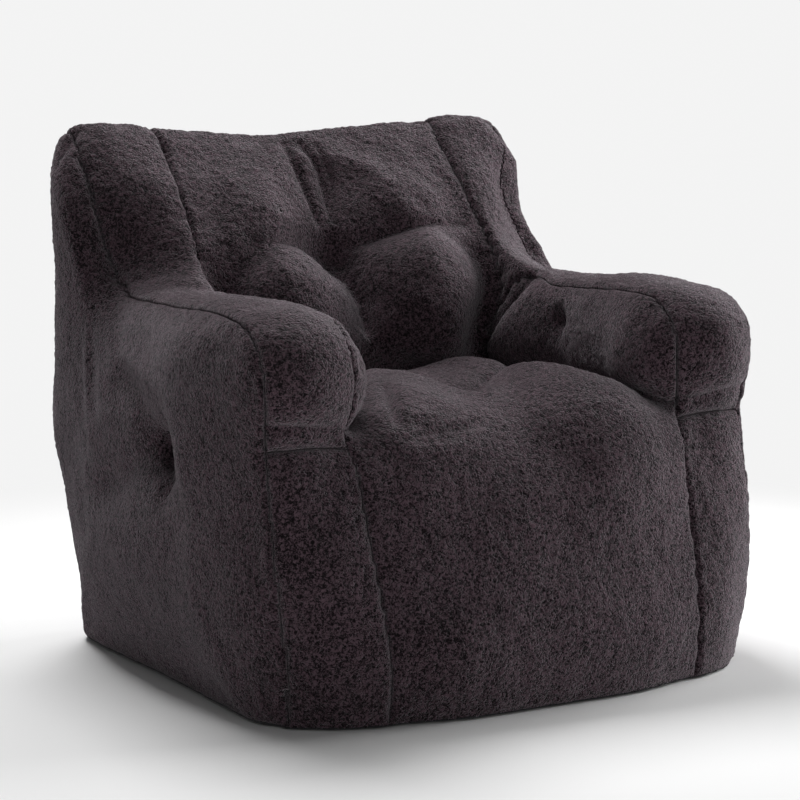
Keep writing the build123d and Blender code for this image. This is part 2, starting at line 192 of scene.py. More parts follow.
def plug(tree, slot, value):
    """Links a wire to a socket, or sets the socket's own value."""
    if isinstance(value, Wire):
        tree.links.new(value.socket, slot)
    elif value is not None:
        slot.default_value = value


def add_node(tree, kind, settings, sockets, out=0):
    """One output of a new node, whose settings are made first and its sockets then set or linked."""
    made = tree.nodes.new("ShaderNode" + kind)
    for name, value in settings.items():
        setattr(made, name, value)
    for slot, value in sockets.items():
        plug(tree, made.inputs[slot], value)
    return Wire(tree, made.outputs[out])


class Finish:
    """One procedural material under construction."""

    def __init__(self, name, **constants):
        self.material = bpy.data.materials.new(name)
        self.material.use_nodes = True
        self.tree = self.material.node_tree
        self.shader = self.tree.nodes["Principled BSDF"]
        for socket, value in constants.items():
            self.shader.inputs[socket.replace("_", " ")].default_value = value

    def node(self, kind, settings=None, out=0, **sockets):
        named = {name.replace("_", " "): value for name, value in sockets.items()}
        return add_node(self.tree, kind, settings or {}, named, out)

    def place(self):
        return self.node("TexCoord", out="Object")

    def blend(self, factor, low, high):
        return add_node(self.tree, "Mix", {"data_type": "RGBA"}, {0: factor, 6: low, 7: high}, out=2)

    def ramp(self, factor, low, high):
        return self.node(
            "MapRange", {"interpolation_type": "SMOOTHSTEP"}, Value=factor, From_Min=low, From_Max=high
        )

    def set(self, socket, value):
        plug(self.tree, self.shader.inputs[socket], value)

    def bump(self, height, strength, distance):
        self.set(
            "Normal", self.node("Bump", Height=height, Strength=strength, Distance=distance)
        )


def colour(values):
    return (*values, 1.0)


def fleece_material():
    """Curly sherpa pile: painted shade between the curls, the fleece's colour with painted highlight on
    their tips, brushed patches.
    """
    shades = bpy.context.scene.chair_colours
    finish = Finish(
        "sherpa_fleece", Roughness=0.95, Specular_IOR_Level=0.1, Sheen_Weight=0.6, Sheen_Roughness=0.3,
        Sheen_Tint=(0.8, 0.76, 0.8, 1.0),
    )
    place = finish.place()
    curls = finish.node("TexNoise", Vector=place, Scale=235.0, Detail=1.5, Roughness=0.55, Distortion=1.1)
    locks = finish.node("TexNoise", Vector=place, Scale=125.0, Detail=1.0, Roughness=0.5, Distortion=1.2)
    patches = finish.node("TexNoise", Vector=place, Scale=9.0, Detail=3.0, Roughness=0.55)
    fibres = finish.node("TexNoise", Vector=place, Scale=620.0, Detail=2.0, Roughness=0.7)
    gaps = finish.ramp((locks - 0.5) ** 2.0, 0.0, 0.004)
    height = curls * 0.8 + gaps * 0.1 + fibres * 0.2
    # The higher the pile, the paler: painted shade in its low gaps and painted highlight on its tips.
    tips = finish.ramp(height + (patches - 0.5) * 0.1, 0.475, 0.71)
    finish.set("Base Color", finish.blend(tips, colour(shades.pile_gap_painted_shade), colour(shades.pile_tip_colour_and_painted_highlight)))
    finish.bump(height, strength=1.0, distance=0.006)
    return finish.material


def woven_material(name, shade, threads, roughness):
    """Plain-woven cloth: crossing threads with a little slub."""
    finish = Finish(name, Roughness=roughness)
    place = finish.place()
    across, along, upright = (
        finish.node("TexWave", {"bands_direction": axis}, Vector=place, Scale=threads, Distortion=1.2)
        for axis in "XYZ"
    )
    slub = finish.node("TexNoise", Vector=place, Scale=160.0, Detail=3.0)
    weave = (across + along + upright) * 0.3 + slub * 0.4
    dark = tuple(value * 0.55 for value in shade)
    finish.set("Base Color", finish.blend(finish.ramp(weave, 0.25, 0.9), colour(dark), colour(shade)))
    finish.bump(weave, strength=0.4, distance=0.0006)
    return finish.material


def foam_material():
    """Shredded foam: crumbs of a few close shades."""
    shades = bpy.context.scene.chair_colours
    finish = Finish("shredded_foam", Roughness=0.9)
    place = finish.place()
    crumbs = finish.node("TexVoronoi", Vector=place, Scale=60.0, out="Color")
    edges = finish.node("TexVoronoi", {"feature": "DISTANCE_TO_EDGE"}, Vector=place, Scale=60.0)
    pores = finish.node("TexNoise", Vector=place, Scale=500.0, Detail=2.0)
    tint = finish.node("SeparateColor", Color=crumbs)
    dark = tuple(value * 0.7 for value in shades.foam)
    shade = finish.ramp(tint * 0.7 + pores * 0.3, 0.1, 0.9)
    finish.set("Base Color", finish.blend(shade, colour(dark), colour(shades.foam)))
    finish.bump(finish.ramp(edges, 0.0, 0.12) + pores * 0.2, strength=0.8, distance=0.006)
    return finish.material


def satin_material(name, shade, metal, roughness):
    """Moulded or lacquered fittings with a fine grain and handling wear."""
    finish = Finish(name, Metallic=metal)
    place = finish.place()
    grain = finish.node("TexNoise", Vector=place, Scale=1400.0, Detail=3.0)
    wear = finish.node("TexNoise", Vector=place, Scale=220.0, Detail=4.0)
    pale = tuple(min(1.0, value * 2.2) for value in shade)
    finish.set("Base Color", finish.blend(finish.ramp(wear, 0.5, 0.85), colour(shade), colour(pale)))
    finish.set("Roughness", roughness + (grain - 0.5) * 0.25)
    finish.bump(grain, strength=0.15, distance=0.0002)
    return finish.material


def select_only(*pieces):
    bpy.ops.object.select_all(action="DESELECT")
    for piece in pieces:
        piece.select_set(True)
    bpy.context.view_layer.objects.active = pieces[-1]


def copy_of(name):
    """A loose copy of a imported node, free of its body."""
    copy = frame["nodes"][name].copy()
    copy.data = copy.data.copy()
    copy.parent = None
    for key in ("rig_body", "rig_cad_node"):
        if key in copy:
            del copy[key]
    bpy.context.scene.collection.objects.link(copy)
    return copy


def apply_modifier(piece, kind, **settings):
    select_only(piece)
    modifier = piece.modifiers.new(kind.title(), kind)
    for name, value in settings.items():
        setattr(modifier, name, value)
    bpy.ops.object.modifier_apply(modifier=modifier.name)


def points_of(mesh):
    flat = np.empty(len(mesh.vertices) * 3, np.float32)
    mesh.vertices.foreach_get("co", flat)
    return flat.reshape(-1, 3).astype(float)


def set_points(mesh, points):
    mesh.vertices.foreach_set("co", points.astype(np.float32).ravel())
    mesh.update()


def normals_of(mesh):
    flat = np.empty(len(mesh.vertices) * 3, np.float32)
    mesh.vertices.foreach_get("normal", flat)
    return flat.reshape(-1, 3).astype(float)


def edges_of(mesh):
    flat = np.empty(len(mesh.edges) * 2, np.int32)
    mesh.edges.foreach_get("vertices", flat)
    return flat.reshape(-1, 2)


def smoothed(points, edges, rounds, share, held=None):
    """Points drawn towards their neighbours' mean; held points keep still."""
    count = np.bincount(edges.ravel(), minlength=len(points)).clip(1)[:, None]
    for _ in range(rounds):
        total = np.zeros_like(points)
        for axis in range(3):
            total[:, axis] += np.bincount(edges[:, 0], points[edges[:, 1], axis], len(points))
            total[:, axis] += np.bincount(edges[:, 1], points[edges[:, 0], axis], len(points))
        step = (total / count - points) * share
        if held is not None:
            step[held] = 0
        points = points + step
    return points


def mm(*values):
    """Millimetres as metres."""
    return np.array(values, float) / 1000


# Folds pressed into the cover, in millimetres: the run, its depth and its half width.
FOLDS = (
    # Back: the valley between the two low puffs, the shoulders over them, and the crest's pleats.
    (((-24, 232, 640), (4, 207, 606), (8, 170, 565), (5, 147, 505)), 36, 26),
    (((-20, 238, 648), (95, 234, 678), (190, 222, 692), (275, 226, 690)), 22, 30),
    (((-26, 238, 648), (-85, 230, 668), (-176, 204, 664), (-232, 194, 622)), 20, 28),
    (((-38, 372, 842), (-32, 328, 777), (-24, 262, 680)), 9, 13),
    (((-6, 370, 840), (13, 334, 784), (0, 270, 690)), 9, 13),
    # Seat: creases from its tuft, the dip before it and the tuck beside the left arm.
    (((22, -140, 452), (95, -70, 465), (200, -25, 460)), 20, 22),
    (((18, -136, 452), (-40, -55, 460), (-120, 5, 455)), 20, 22),
    (((20, -130, 455), (-30, -230, 475), (-95, -340, 480)), 16, 55),
    (((-160, -180, 480), (-196, -270, 470), (-214, -330, 440)), 8, 14),
    # Where the seat runs in under the back.
    (((-280, 152, 440), (0, 140, 440), (280, 152, 440)), 16, 20),
)
MIRRORED_FOLDS = (
    # Arm fronts: the tuck over the cross seam and the seam's own pinch.
    (((452, -322, 448), (385, -334, 444), (312, -330, 434)), 8, 12),
    (((470, -312, 412), (385, -332, 412), (286, -326, 414)), 14, 16),
    # Top corners, elbows, and where the arms meet the back and the seat.
    (((415, 385, 872), (450, 372, 845), (480, 352, 800)), 6, 16),
    (((288, 152, 450), (298, 128, 550), (312, 112, 612)), 16, 18),
    (((276, 140, 440), (270, -80, 445), (282, -310, 432)), 14, 18),
    (((486, 110, 585), (478, 130, 640), (470, 160, 700)), 8, 26),
    # Sides: the crease in front of the dimple and the folds that run from it.
    (((486, -66, 440), (486, -70, 375), (486, -68, 300)), 12, 18),
    (((486, -45, 385), (486, 60, 330), (486, 150, 300)), 9, 26),
    (((486, -40, 395), (486, 40, 470), (486, 90, 540)), 9, 26),
    (((486, -70, 360), (486, -160, 300), (486, -230, 230)), 7, 28),
)
# Swellings of the filling, in millimetres: the middle, its reach and its height.
SWELLS = (
    ((-140, 180, 580), 95, 28),
    ((150, 175, 585), 105, 28),
    ((0, 315, 765), 110, -7),
    ((-130, -110, 460), 110, 24),
    ((165, -150, 460), 110, 16),
    ((175, -415, 365), 100, 18),
    ((140, 60, 433), 90, 42),
    ((-120, 60, 433), 90, 38),
    ((0, 80, 436), 80, 14),
    ((-60, 405, 870), 150, -9),
    ((335, 400, 872), 60, 7),
)
MIRRORED_SWELLS = (
    ((372, -330, 520), 85, 24),
    ((268, -245, 490), 75, 32),
    ((372, -140, 605), 120, 10),
    ((372, 270, 760), 110, 10),
    ((486, -140, 380), 75, 14),
    ((486, 60, 190), 130, 10),
    ((486, -210, 190), 110, 8),
    ((480, 260, 430), 120, 7),
    ((486, -120, 530), 90, 8),
    ((372, -350, 200), 110, 10),
)
# Sharp creases along the deepest folds, pressed into the finished cloth.
CREASES = (
    (((-26, 236, 644), (2, 209, 609), (8, 172, 568), (5, 148, 510)), 14, 7),
    (((-20, 240, 650), (60, 238, 670), (150, 228, 686), (240, 224, 692)), 7, 9),
    (((-30, 238, 650), (-85, 230, 668), (-160, 208, 667)), 5, 9),
    (((-38, 372, 842), (-32, 328, 777), (-26, 268, 688)), 7, 6),
    (((-6, 370, 840), (13, 334, 784), (2, 275, 697)), 7, 6),
    (((22, 366, 834), (30, 325, 770), (10, 285, 712)), 5, 6),
    (((24, -138, 452), (95, -70, 465), (185, -30, 460)), 8, 8),
    (((16, -134, 452), (-40, -55, 460), (-110, 0, 455)), 8, 8),
    (((-162, -190, 480), (-196, -270, 470), (-212, -325, 445)), 9, 7),
)
MIRRORED_CREASES = (
    (((450, -323, 447), (385, -334, 444), (315, -330, 435)), 8, 6),
    (((415, 385, 872), (448, 373, 847), (478, 353, 803)), 4, 7),
    (((288, 150, 455), (298, 128, 550), (312, 112, 612)), 8, 8),
    (((486, -68, 425), (486, -72, 375), (486, -70, 315)), 7, 8),
    (((300, -330, 445), (296, -300, 500), (290, -270, 540)), 4, 7),
)
# Tufts, in millimetres: where the solids have them, how far the sewn one sits from there, which way it
# pulls, its depth and its reach.
TUFTS = (
    ((0, 222, 632), (-24, 8, 9), (0, 0.76, -0.65), 26, 42),
    ((0, 447, 608), (-6, 0, 6), (0, -1, 0), 14, 40),
    ((0, -141, 463), (20, 0, 0), (0, 0, -1), 26, 46),
)
MIRRORED_TUFTS = (
    ((258, -34, 540), (4, 0, 0), (1, 0, 0), 13, 44),
    ((486, -53, 380), (0, 0, 0), (-1, 0, 0), 32, 42),
)
# Sideways moves of the seams, in millimetres: where on the profile, and by how much.
INNER_MOVES = ((385, 860, -18), (89, 608, -6), (-287, 584, 11), (-317, 425, 17), (-382, 36, -7))
OUTER_MOVES = (
    (389, 861, -28), (225, 606, -38), (98, 606, -27), (0, 606, -18), (-284, 586, 7), (-323, 412, -3),
    (298, 27, -6),
)
FOOT_MOVES = {"left": (-338, 20, -28), "right": (-338, 20, 2)}
# Leans and bulges of the standing bag, in millimetres on its right side: the middle, its reach, the move.
SHIFTS = {
    "both": (
        ((295, 110, 600), 60, (20, -40, 8)),
        ((275, 130, 480), 80, (-40, 15, -5)),
    ),
    "left": (
        ((486, 400, 380), 170, (14, 8, 0)),
        ((486, 400, 640), 170, (9, 6, 0)),
        ((470, 400, 850), 110, (12, 8, 3)),
        ((486, 420, 110), 110, (-18, -10, 0)),
    ),
    "right": (
        ((470, 285, 715), 103, (-47, 18, 0)),
        ((470, -300, 20), 110, (-22, 14, 0)),
    ),
}
# Stretches of seam that the pile hides, in millimetres: the middle and its reach.
BURIED_SEAMS = (
    ((420, 330, 770), 130),
    ((432, 250, 660), 80),
)

# A fold presses on skin this far above or below its run, and keeps this share of its depth at its ends.
FOLD_RISE = 0.045
FOLD_ENDS = 0.25
# How roundly folds and tufts fade at their edges.
FOLD_EDGE = 1.5
TUFT_EDGE = 1.4
# Reach of a tuft's sideways drift in millimetres.
TUFT_DRIFT = 85
# Pinch in a tuft's middle: the rise that it bridges, its reach, and its depth for each mm of the tuft.
PINCH_RISE = 0.08
PINCH_REACH = 0.011
PINCH_DEPTH = 0.00045
# Square metres that even out the pull between a seam's set points.
SEAM_EVENNESS = 0.004

# How the filled bag stands, in metres. Elbows: how far back the arm's outer edge skews, and where.
ELBOW_SKEW = 0.095
ELBOW_DEPTH = 0.13
ELBOW_REACH = 0.13
ELBOW_HEIGHTS = (0.42, 0.58)
# Past the outer seam, the side takes up all but a little of the seam's move over this width.
SIDE_ROUND = 0.036
SIDE_TAKE_UP = 0.85
# Upright rear corners: the planes of side and rear, the radius, what it gains towards the floor and
# from what height, and how far past the planes the rounding still counts.
SIDE_PLANE = 0.486
REAR_PLANE = 0.454
CORNER_RADIUS = 0.012
CORNER_GAIN = 0.115
CORNER_HEIGHT = 0.4
CORNER_LIMIT = 1.1
# Foot: its height, where its front begins, the shares by which it spreads or draws in, and how flat and
# how high its rolled edge is.
FOOT_HEIGHT = 0.13
FOOT_FRONT = (-0.1, 0.35)
FOOT_DRAW_IN = 0.03
FOOT_LEFT_SPREAD = 0.045
FOOT_FRONT_SPREAD = 0.06
FOOT_REAR_DRAW_IN = 0.025
FOOT_FLATNESS = 0.35
FOOT_ROLL = 0.1


def nearness(points, middle, reach):
    """1 at a middle, fading over its reach; both are in millimetres."""
    away = np.linalg.norm(points - mm(*middle), axis=1)
    return np.exp(-((away / (reach / 1000)) ** 2))


def fold_depth(points, normals, run, width):
    """How deep each point lies in a fold: 1 on its run, fading to its sides and ends."""
    corners = [mm(*corner) for corner in run]
    lengths = [np.linalg.norm(b - a) for a, b in zip(corners, corners[1:])]
    best = np.full(len(points), np.inf)
    share = np.zeros(len(points))
    passed = 0.0
    for a, b, length in zip(corners, corners[1:], lengths):
        along = ((points - a) @ (b - a) / length**2).clip(0, 1)
        gap = points - (a + along[:, None] * (b - a))
        rise = (gap * normals).sum(axis=1)
        flat = np.linalg.norm(gap - normals * rise[:, None], axis=1)
        away = np.hypot(flat, (np.abs(rise) - FOLD_RISE).clip(0, None))
        nearer = away < best
        best[nearer] = away[nearer]
        share[nearer] = (passed + along[nearer] * length) / sum(lengths)
        passed += length
    taper = np.sqrt((4 * share * (1 - share)).clip(0, 1)) * (1 - FOLD_ENDS) + FOLD_ENDS
    return np.exp(-((best / (width / 1000)) ** FOLD_EDGE)) * taper


def all_folds(single, mirrored):
    """Every fold as its run, depth and width, with the mirrored ones on both sides."""
    return [
        *single,
        *mirrored,
        *(([(-x, y, z) for x, y, z in run], depth, width) for run, depth, width in mirrored),
    ]


def all_tufts():
    """Every tuft, with the mirrored ones on both sides."""
    turned = []
    for *vectors, depth, reach in MIRRORED_TUFTS:
        turned.append((*[(-x, y, z) for x, y, z in vectors], depth, reach))
    return [*TUFTS, *MIRRORED_TUFTS, *turned]


def all_swells():
    """Every swelling, with the mirrored ones on both sides."""
    turned = [((-x, y, z), reach, height) for (x, y, z), reach, height in MIRRORED_SWELLS]
    return [*SWELLS, *MIRRORED_SWELLS, *turned]


def shaped(points, normals):
    """Points with the photograph's tufts, folds and swellings pressed into them."""
    moved = points.copy()
    for place, shift, _, _, _ in all_tufts():
        moved += nearness(points, place, TUFT_DRIFT)[:, None] * mm(*shift)
    push = np.zeros(len(points))
    for run, depth, width in all_folds(FOLDS, MIRRORED_FOLDS):
        push -= fold_depth(moved, normals, run, width) * depth
    for middle, reach, height in all_swells():
        push += nearness(moved, middle, reach) * height
    moved += normals * (push / 1000)[:, None]
    for place, shift, axis, depth, reach in all_tufts():
        middle = np.array(place) + np.array(shift)
        away = np.linalg.norm(moved - mm(*middle), axis=1) / (reach / 1000)
        moved += np.exp(-(away**TUFT_EDGE))[:, None] * mm(*axis) * depth
    return moved


def creased(points, normals):
    """How far each point of the finished cloth drops into the sharp creases and tufts."""
    drop = np.zeros(len(points))
    for run, depth, width in all_folds(CREASES, MIRRORED_CREASES):
        line = settled(np.array(run, float) / 1000) * 1000
        drop = np.maximum(drop, fold_depth(points, normals, line, width) * depth / 1000)
    for place, shift, _, depth, _ in all_tufts():
        middle = settled(np.array([place], float) / 1000 + mm(*shift))[0]
        gap = points - middle
        rise = (gap * normals).sum(axis=1)
        flat = np.linalg.norm(gap - normals * rise[:, None], axis=1)
        near = np.hypot(flat, (np.abs(rise) - PINCH_RISE).clip(0, None))
        drop = np.maximum(drop, np.exp(-near / PINCH_REACH) * depth * PINCH_DEPTH)
    return drop


def seam_move(points, moves):
    """The sideways move that the seam's set points ask of each point."""
    total = np.zeros(len(points))
    weight = np.zeros(len(points))
    for y, z, move in moves:
        away = (points[:, 1] - y / 1000) ** 2 + (points[:, 2] - z / 1000) ** 2
        pull = 1 / (away + SEAM_EVENNESS)
        total += pull * move / 1000
        weight += pull
    return total / weight


def eased(value, low, high):
    """0 below low, 1 above high, and smooth between."""
    share = ((value - low) / (high - low)).clip(0, 1)
    return share * share * (3 - 2 * share)


def leaning(points):
    """How far each point moves where the standing bag leans or bulges."""
    total = np.zeros_like(points)
    for side, sign in SIDES:
        mirror = np.array((sign, 1, 1))
        for middle, reach, move in (*SHIFTS["both"], *SHIFTS[side]):
            total += nearness(points * mirror, middle, reach)[:, None] * mm(*move) * mirror
    return total


def settled(points):
    """Points moved as the filled bag stands: seams wander, elbows skew, rear corners and foot draw in."""
    moved = points.copy()
    depth, height = moved[:, 1], moved[:, 2]
    width = np.abs(moved[:, 0])
    share = ((width - INNER_SEAM) / (OUTER_SEAM - INNER_SEAM)).clip(0, 1)
    elbow = np.exp(-(((depth - ELBOW_DEPTH) / ELBOW_REACH) ** 2))
    depth += ELBOW_SKEW * share * elbow * eased(height, *ELBOW_HEIGHTS)
    inner = seam_move(moved, INNER_MOVES)
    left = seam_move(moved, (*OUTER_MOVES, FOOT_MOVES["left"]))
    right = seam_move(moved, (*OUTER_MOVES, FOOT_MOVES["right"]))
    beyond = 1 - SIDE_TAKE_UP * ((width - OUTER_SEAM) / SIDE_ROUND).clip(0, 1)
    outer = np.where(moved[:, 0] < 0, left, right) * beyond
    near = (width / INNER_SEAM).clip(0, 1) ** 2
    width = width + near * inner * (1 - share) + outer * share
    corner = CORNER_RADIUS + CORNER_GAIN * (1 - eased(height, 0.0, CORNER_HEIGHT))
    across = ((width - (SIDE_PLANE - corner)) / corner).clip(0, CORNER_LIMIT)
    behind = ((depth - (REAR_PLANE - corner)) / corner).clip(0, CORNER_LIMIT)
    width = width + (across * np.sqrt(1 - behind**2 / 2) - across) * corner
    depth += (behind * np.sqrt(1 - across**2 / 2) - behind) * corner
    foot = (1 - height / FOOT_HEIGHT).clip(0, 1) ** 2
    front = eased(-depth, *FOOT_FRONT)
    spread = np.where(moved[:, 0] < 0, FOOT_LEFT_SPREAD * front - FOOT_DRAW_IN, -FOOT_DRAW_IN)
    width = width * (1 + spread * foot)
    depth *= 1 + (FOOT_FRONT_SPREAD * front - FOOT_REAR_DRAW_IN) * foot
    height *= FOOT_FLATNESS + (1 - FOOT_FLATNESS) * eased(height, 0.0, FOOT_ROLL)
    moved[:, 0] = np.sign(moved[:, 0]) * width
    return moved + leaning(points)


def wrapped_skin(cell):
    """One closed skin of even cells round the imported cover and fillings."""
    parts = [*PANELS, *FILLINGS, "zip_tape_upper", "zip_tape_lower"]
    copies = [copy_of(name) for name in parts]
    select_only(*copies)
    bpy.ops.object.join()
    skin = bpy.context.view_layer.objects.active
    skin.name = "cover_skin"
    apply_modifier(skin, "REMESH", mode="VOXEL", voxel_size=cell, adaptivity=0.0)
    select_only(skin)
    bpy.ops.mesh.separate(type="LOOSE")
    shells = sorted(bpy.context.selected_objects, key=lambda piece: len(piece.data.vertices))
    for inner in shells[:-1]:
        bpy.data.objects.remove(inner)
    shells[-1].name = "cover_skin"
    return shells[-1]


# Skin below this height that faces down belongs to the base.
BASE_HEIGHT = 0.012
BASE_TILT = -0.6


def panel_of(centre, normal, trees):
    """The panel that a bit of skin belongs to."""
    x, y, z = centre
    side = "left" if x < 0 else "right"
    if z < BASE_HEIGHT and normal.z < BASE_TILT:
        return "base_panel"
    if abs(x) > OUTER_SEAM:
        return f"{side}_side_panel"
    if abs(x) > INNER_SEAM:
        if y > CREST_SEAM:
            return f"{side}_rear_gusset"
        return f"{side}_arm_gusset" if z > ARM_SEAM else f"{side}_front_gusset"
    if y > CREST_SEAM:
        return "back_rear_panel" if z > ZIP_MIDDLE else "back_lower_panel"
    near = ("seat_panel", "back_front_panel", f"{side}_inner_arm_panel")
    return min(near, key=lambda name: trees[name].find_nearest(centre)[3])


def tree_of(mesh):
    """A search tree over a mesh's faces."""
    return BVHTree.FromPolygons(
        [vertex.co for vertex in mesh.vertices], [tuple(face.vertices) for face in mesh.polygons]
    )


def sort_into_panels(skin):
    """The number of the panel that each face of the skin belongs to."""
    trees = {name: tree_of(frame["nodes"][name].data) for name in PANELS}
    numbers = [PANEL_NUMBER[panel_of(face.center, face.normal, trees)] for face in skin.data.polygons]
    return np.array(numbers)


def without_strays(numbers, quads, rounds=4):
    """Panel numbers with lone faces handed to the panel that surrounds them."""
    sides = np.concatenate([quads[:, [corner, (corner + 1) % 4]] for corner in range(4)])
    owner = np.tile(np.arange(len(quads)), 4)
    keys = np.sort(sides, axis=1) @ np.array([quads.max() + 1, 1], np.int64)
    order = np.argsort(keys, kind="stable")
    same = np.flatnonzero(keys[order][1:] == keys[order][:-1])
    first, second = owner[order[same]], owner[order[same + 1]]
    for _ in range(rounds):
        votes = np.zeros((len(quads), len(PANELS)), np.int8)
        np.add.at(votes, (first, numbers[second]), 1)
        np.add.at(votes, (second, numbers[first]), 1)
        own = votes[np.arange(len(quads)), numbers]
        numbers = np.where(own < 2, votes.argmax(axis=1), numbers)
    return numbers


def calm_normals(mesh, rounds):
    """The mesh's normals, evened out over their surroundings."""
    normals = smoothed(normals_of(mesh), edges_of(mesh), rounds, share=0.6)
    return normals / np.linalg.norm(normals, axis=1)[:, None].clip(1e-6)


def seam_distance(points, on_seam):
    """How far each point is from the nearest seam."""
    seams = kdtree.KDTree(int(on_seam.sum()))
    for index, point in enumerate(points[on_seam]):
        seams.insert(point, index)
    seams.balance()
    return np.array([seams.find(point)[2] for point in points])


def quads_of(mesh):
    """The mesh's faces as rows of four corners."""
    flat = np.empty(len(mesh.loops), np.int32)
    mesh.loops.foreach_get("vertex_index", flat)
    if len(flat) != 4 * len(mesh.polygons):
        raise RuntimeError("the cover's skin has faces that aren't quads")
    return flat.reshape(-1, 4)


def seam_points(quads, numbers, count):
    """For each point, whether panels meet there, and the lowest and highest panel number round it."""
    low = np.full(count, len(PANELS))
    high = np.full(count, -1)
    for corner in range(4):
        np.minimum.at(low, quads[:, corner], numbers)
        np.maximum.at(high, quads[:, corner], numbers)
    return low != high, low, high


def true_seams(points, on_seam):
    """Points on a seam set exactly on its plane, where one is near."""
    near = 0.008
    for axis, plane in ((0, INNER_SEAM), (0, OUTER_SEAM), (1, CREST_SEAM), (2, ARM_SEAM)):
        value = np.abs(points[:, axis]) if axis == 0 else points[:, axis]
        close = on_seam & (np.abs(value - plane) < near)
        sign = np.sign(points[close, axis]) if axis == 0 else 1
        points[close, axis] = sign * plane
    return points


# Frames for which the filling pushes, of those that the cloth keeps.
CLOTH_FRAMES = 16
CLOTH_CACHE = 20


def stuffed(skin, held, pressure, limit):
    """The cover's points once the filling has pushed the cloth out between its seams."""
    start = points_of(skin.data)
    group = skin.vertex_groups.new(name="held")
    group.add([int(number) for number in np.flatnonzero(held)], 1.0, "REPLACE")
    select_only(skin)
    cloth = skin.modifiers.new("Cloth", "CLOTH")
    settings = cloth.settings
    settings.quality = 4
    settings.mass = 0.35
    settings.tension_stiffness = settings.compression_stiffness = 12
    settings.shear_stiffness = 6
    settings.bending_stiffness = 1.2
    settings.use_pressure = True
    settings.uniform_pressure_force = pressure
    settings.vertex_group_mass = "held"
    settings.effector_weights.gravity = 0
    cloth.collision_settings.use_collision = False
    scene = bpy.context.scene
    cloth.point_cache.frame_start = 1
    cloth.point_cache.frame_end = CLOTH_CACHE
    for step in range(1, CLOTH_FRAMES + 1):
        scene.frame_set(step)
    select_only(skin)
    bpy.ops.object.modifier_apply(modifier=cloth.name)
    scene.frame_set(1)
    skin.vertex_groups.clear()
    move = points_of(skin.data) - start
    length = np.linalg.norm(move, axis=1)
    move *= (limit / np.maximum(length, limit))[:, None]
    return start + move


# Lumps of the pile in a metre, wide and narrow, and how far apart the two patterns start.
WIDE_LUMPS = 95
NARROW_LUMPS = 170
LUMPS_APART = Vector((7, 3, 5))


def pile_height(points):
    """Lumps of the curly pile, about -1 to 1 at each point."""
    lumps = [
        noise.noise(Vector(point) * WIDE_LUMPS) + noise.noise(Vector(point) * NARROW_LUMPS + LUMPS_APART)
        for point in points
    ]
    return np.array(lumps)


def slow_waves(points, scale):
    """Smooth waves of a scale, about -1 to 1 at each point."""
    return np.array([noise.noise(Vector(point) * scale) for point in points])


def waves(points, *layers):
    """Layers of smooth waves, each a scale and a height, added up."""
    return sum(slow_waves(points, scale) * height for scale, height in layers)


def new_piece(name, points, faces, finish):
    """A smooth-shaded piece of its own from points and faces."""
    mesh = bpy.data.meshes.new(name)
    mesh.from_pydata([tuple(point) for point in points], [], [tuple(face) for face in faces])
    piece = bpy.data.objects.new(name, mesh)
    bpy.context.scene.collection.objects.link(piece)
    mesh.materials.append(finish)
    select_only(piece)
    bpy.ops.object.shade_smooth()
    return piece


# A panel's edge stands this far back from its seam, and its hem runs this far back past it.
SEAM_GAP = 0.0017
HEM_FLARE = 0.0027


def cut_panel(name, points, normals, quads, hem, finish):
    """One panel of the cover as its own piece, its edges turned in along the seams."""
    used, faces = np.unique(quads, return_inverse=True)
    faces = faces.reshape(-1, 4)
    place = points[used]
    outward = normals[used]
    sides = np.concatenate([faces[:, [corner, (corner + 1) % 4]] for corner in range(4)])
    keys = np.sort(sides, axis=1) @ np.array([len(used), 1])
    _, first, count = np.unique(keys, return_index=True, return_counts=True)
    border = sides[first[count == 1]]
    rim = np.unique(border)
    home = np.zeros_like(place)
    weight = np.zeros(len(place))
    for corner in range(4):
        for other in range(4):
            np.add.at(home, faces[:, corner], place[faces[:, other]])
            np.add.at(weight, faces[:, corner], 1)
    home = home[rim] / weight[rim][:, None] - place[rim]
    home /= np.linalg.norm(home, axis=1)[:, None].clip(1e-6)
    place[rim] += home * SEAM_GAP
    turned = place[rim] - outward[rim] * hem - home * HEM_FLARE
    number = np.full(len(place), -1)
    number[rim] = len(place) + np.arange(len(rim))
    walls = np.column_stack([border[:, 1], border[:, 0], number[border[:, 0]], number[border[:, 1]]])
    piece = new_piece(name, np.vstack([place, turned]), np.vstack([faces, walls]), finish)
    piece.data.polygons.foreach_set("use_smooth", np.arange(len(faces) + len(walls)) < len(faces))
    piece.data.update()
    return piece


# Times that the wrapped skin is evened out and set back on its seams.
EVENING_ROUNDS = 5
# The cover starts this far inside its finished skin. Nearer than this to a seam the filling moves it
# less, down to this share of the swell limit on the seam itself.
SLACK = 0.006
SEAM_HOLD = 0.07
SEAM_SWELL = 0.1
# Seam groove: half width, and the share that the pile hides on a buried stretch.
GROOVE_WIDTH = 0.0045
GROOVE_HIDDEN = 0.85
# Puckers along the seams, and the slow and quick drift of the whole cover: scale and height.
PUCKER_SCALE = 42
PUCKER_REACH = 0.022
PUCKER_HEIGHT = 0.0035
SLOW_DRIFT = (9, 0.004)
QUICK_DRIFT = (22, 0.002)
# Below this height the pile, puckers and grooves fade out towards the floor.
PILE_FADE = 0.02


